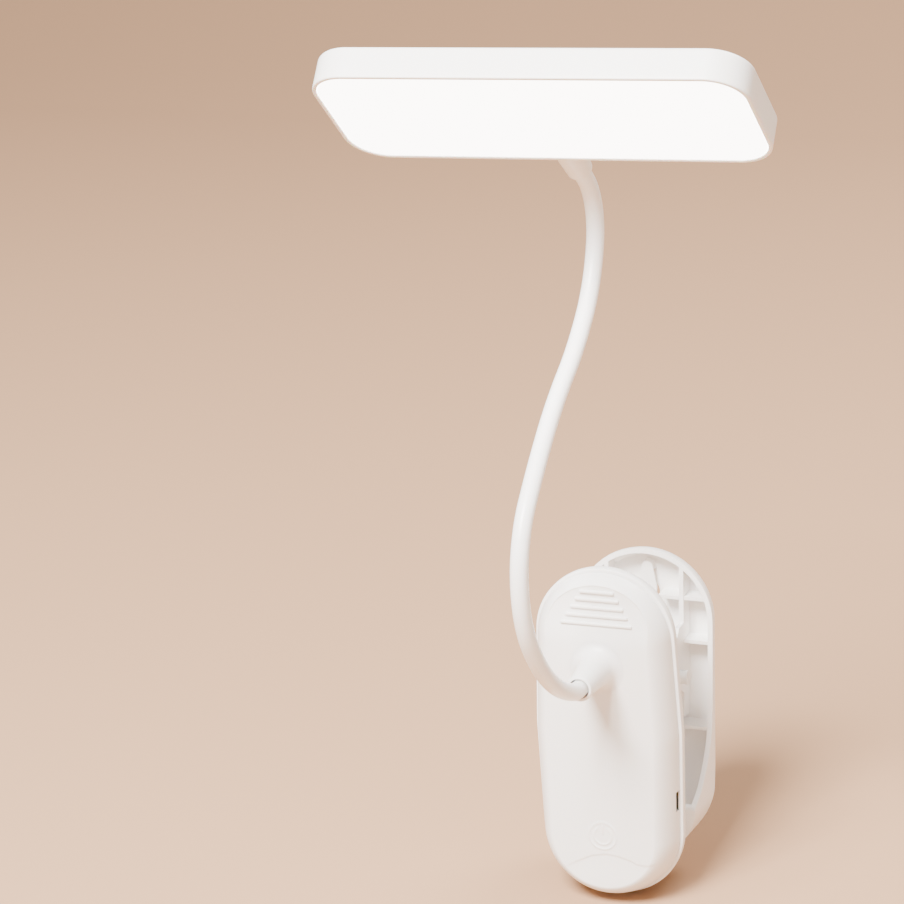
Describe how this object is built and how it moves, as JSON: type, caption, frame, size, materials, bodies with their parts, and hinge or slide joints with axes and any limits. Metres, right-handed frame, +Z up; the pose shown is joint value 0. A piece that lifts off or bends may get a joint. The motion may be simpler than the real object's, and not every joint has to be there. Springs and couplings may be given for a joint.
{
  "type": "clip on reading lamp",
  "caption": "Clip-on reading lamp: flat rounded light panel on a bendable neck, fixed to a spring clip that holds the battery, a touch switch and a charging socket.",
  "frame": {"origin": "centre of the front grip pad's face, which rests against the board that the clip holds", "axes": "+X to the clip's right, +Y from the front pad across the mouth to the rear jaw, +Z up the clip"},
  "size_m": [0.1632, 0.1534, 0.3568],
  "materials": {
    "white_shell": "fine satin ABS, warm white",
    "white_pin": "smooth white nylon",
    "sleeve": "smooth soft white silicone",
    "steel": "bright zinc",
    "pad": "matt pale grey silicone rubber",
    "board": "green solder mask",
    "chips": "black moulding",
    "cell": "silver pouch foil",
    "leads": "red and black insulation",
    "lead": "black insulation",
    "led_board": "white solder mask on aluminium",
    "led": "warm phosphor",
    "reflector": "white",
    "diffuser": "milky acrylic"
  },
  "bodies": {
    "clip": {"front_shell": "white_shell", "rear_cover": "white_shell", "cover_screws": "steel", "front_pad": "pad", "main_board": "board", "board_parts": "chips", "board_screws": "steel", "usb_socket": "steel", "battery": "cell", "battery_leads": "leads", "touch_spring": "steel", "hinge_pin": "white_pin", "torsion_spring": "steel", "base_ferrule": "steel", "neck_nut": "steel", "neck_sleeve_0": "sleeve", "neck_core_0": "steel", "neck_lead": "lead"},
    "jaw": {"rear_jaw": "white_shell", "jaw_pad": "pad"},
    "neck_1": {"neck_sleeve_1": "sleeve", "neck_core_1": "steel"},
    "neck_2": {"neck_sleeve_2": "sleeve", "neck_core_2": "steel"},
    "neck_3": {"neck_sleeve_3": "sleeve", "neck_core_3": "steel"},
    "neck_4": {"neck_sleeve_4": "sleeve", "neck_core_4": "steel"},
    "neck_5": {"neck_sleeve_5": "sleeve", "neck_core_5": "steel"},
    "neck_6": {"neck_sleeve_6": "sleeve", "neck_core_6": "steel"},
    "neck_7": {"neck_sleeve_7": "sleeve", "neck_core_7": "steel"},
    "neck_8": {"neck_sleeve_8": "sleeve", "neck_core_8": "steel"},
    "neck_9": {"neck_sleeve_9": "sleeve", "neck_core_9": "steel"},
    "head": {"neck_sleeve_10": "sleeve", "neck_core_10": "steel", "head_ferrule": "steel", "neck_clamp": "steel", "clamp_screws": "steel", "head_shell": "white_shell", "led_board": "led_board", "led_board_screws": "steel", "leds": "led", "reflector": "reflector", "diffuser": "diffuser"}
  },
  "joints": [
    {"name": "neck_bend_1", "type": "hinge", "parent": "clip", "child": "neck_1", "pos_m": [0, -0.04981, 0.08152], "axis": [0, -0.3746, -0.9272], "range_deg": [-20, 20], "deforming": ["neck_lead"]},
    {"name": "neck_bend_2", "type": "hinge", "parent": "neck_1", "child": "neck_2", "pos_m": [0, -0.07456, 0.09639], "axis": [1, 0, 0], "range_deg": [-20, 20], "deforming": ["neck_lead"]},
    {"name": "neck_bend_3", "type": "hinge", "parent": "neck_2", "child": "neck_3", "pos_m": [0, -0.09351, 0.11819], "axis": [0, -0.848, -0.5299], "range_deg": [-20, 20], "deforming": ["neck_lead"]},
    {"name": "neck_bend_4", "type": "hinge", "parent": "neck_3", "child": "neck_4", "pos_m": [0, -0.10041, 0.14587], "axis": [1, 0, 0], "range_deg": [-20, 20], "deforming": ["neck_lead"]},
    {"name": "neck_bend_5", "type": "hinge", "parent": "neck_4", "child": "neck_5", "pos_m": [0, -0.08822, 0.17143], "axis": [0, -0.682, 0.7314], "range_deg": [-20, 20], "deforming": ["neck_lead"]},
    {"name": "neck_bend_6", "type": "hinge", "parent": "neck_5", "child": "neck_6", "pos_m": [0, -0.06601, 0.19006], "axis": [1, 0, 0], "range_deg": [-20, 20], "deforming": ["neck_lead"]},
    {"name": "neck_bend_7", "type": "hinge", "parent": "neck_6", "child": "neck_7", "pos_m": [0, -0.04132, 0.20519], "axis": [0, -0.4384, 0.8988], "range_deg": [-20, 20], "deforming": ["neck_lead"]},
    {"name": "neck_bend_8", "type": "hinge", "parent": "neck_7", "child": "neck_8", "pos_m": [0, -0.01721, 0.22115], "axis": [1, 0, 0], "range_deg": [-20, 20], "deforming": ["neck_lead"]},
    {"name": "neck_bend_9", "type": "hinge", "parent": "neck_8", "child": "neck_9", "pos_m": [0, -0.00184, 0.24527], "axis": [0, -0.9613, 0.2756], "range_deg": [-20, 20], "deforming": ["neck_lead"]},
    {"name": "neck_bend_10", "type": "hinge", "parent": "neck_9", "child": "head", "pos_m": [0, -0.00942, 0.27172], "axis": [1, 0, 0], "range_deg": [-20, 20], "deforming": ["neck_lead"]},
    {"name": "clamp_hinge", "type": "hinge", "parent": "clip", "child": "jaw", "pos_m": [0, 0.026, 0.0585], "axis": [1, 0, 0], "range_deg": [-3.5, 38], "stiffness_Nm_per_rad": 0.6, "springref_deg": -51.57, "deforming": ["torsion_spring"]}
  ]
}
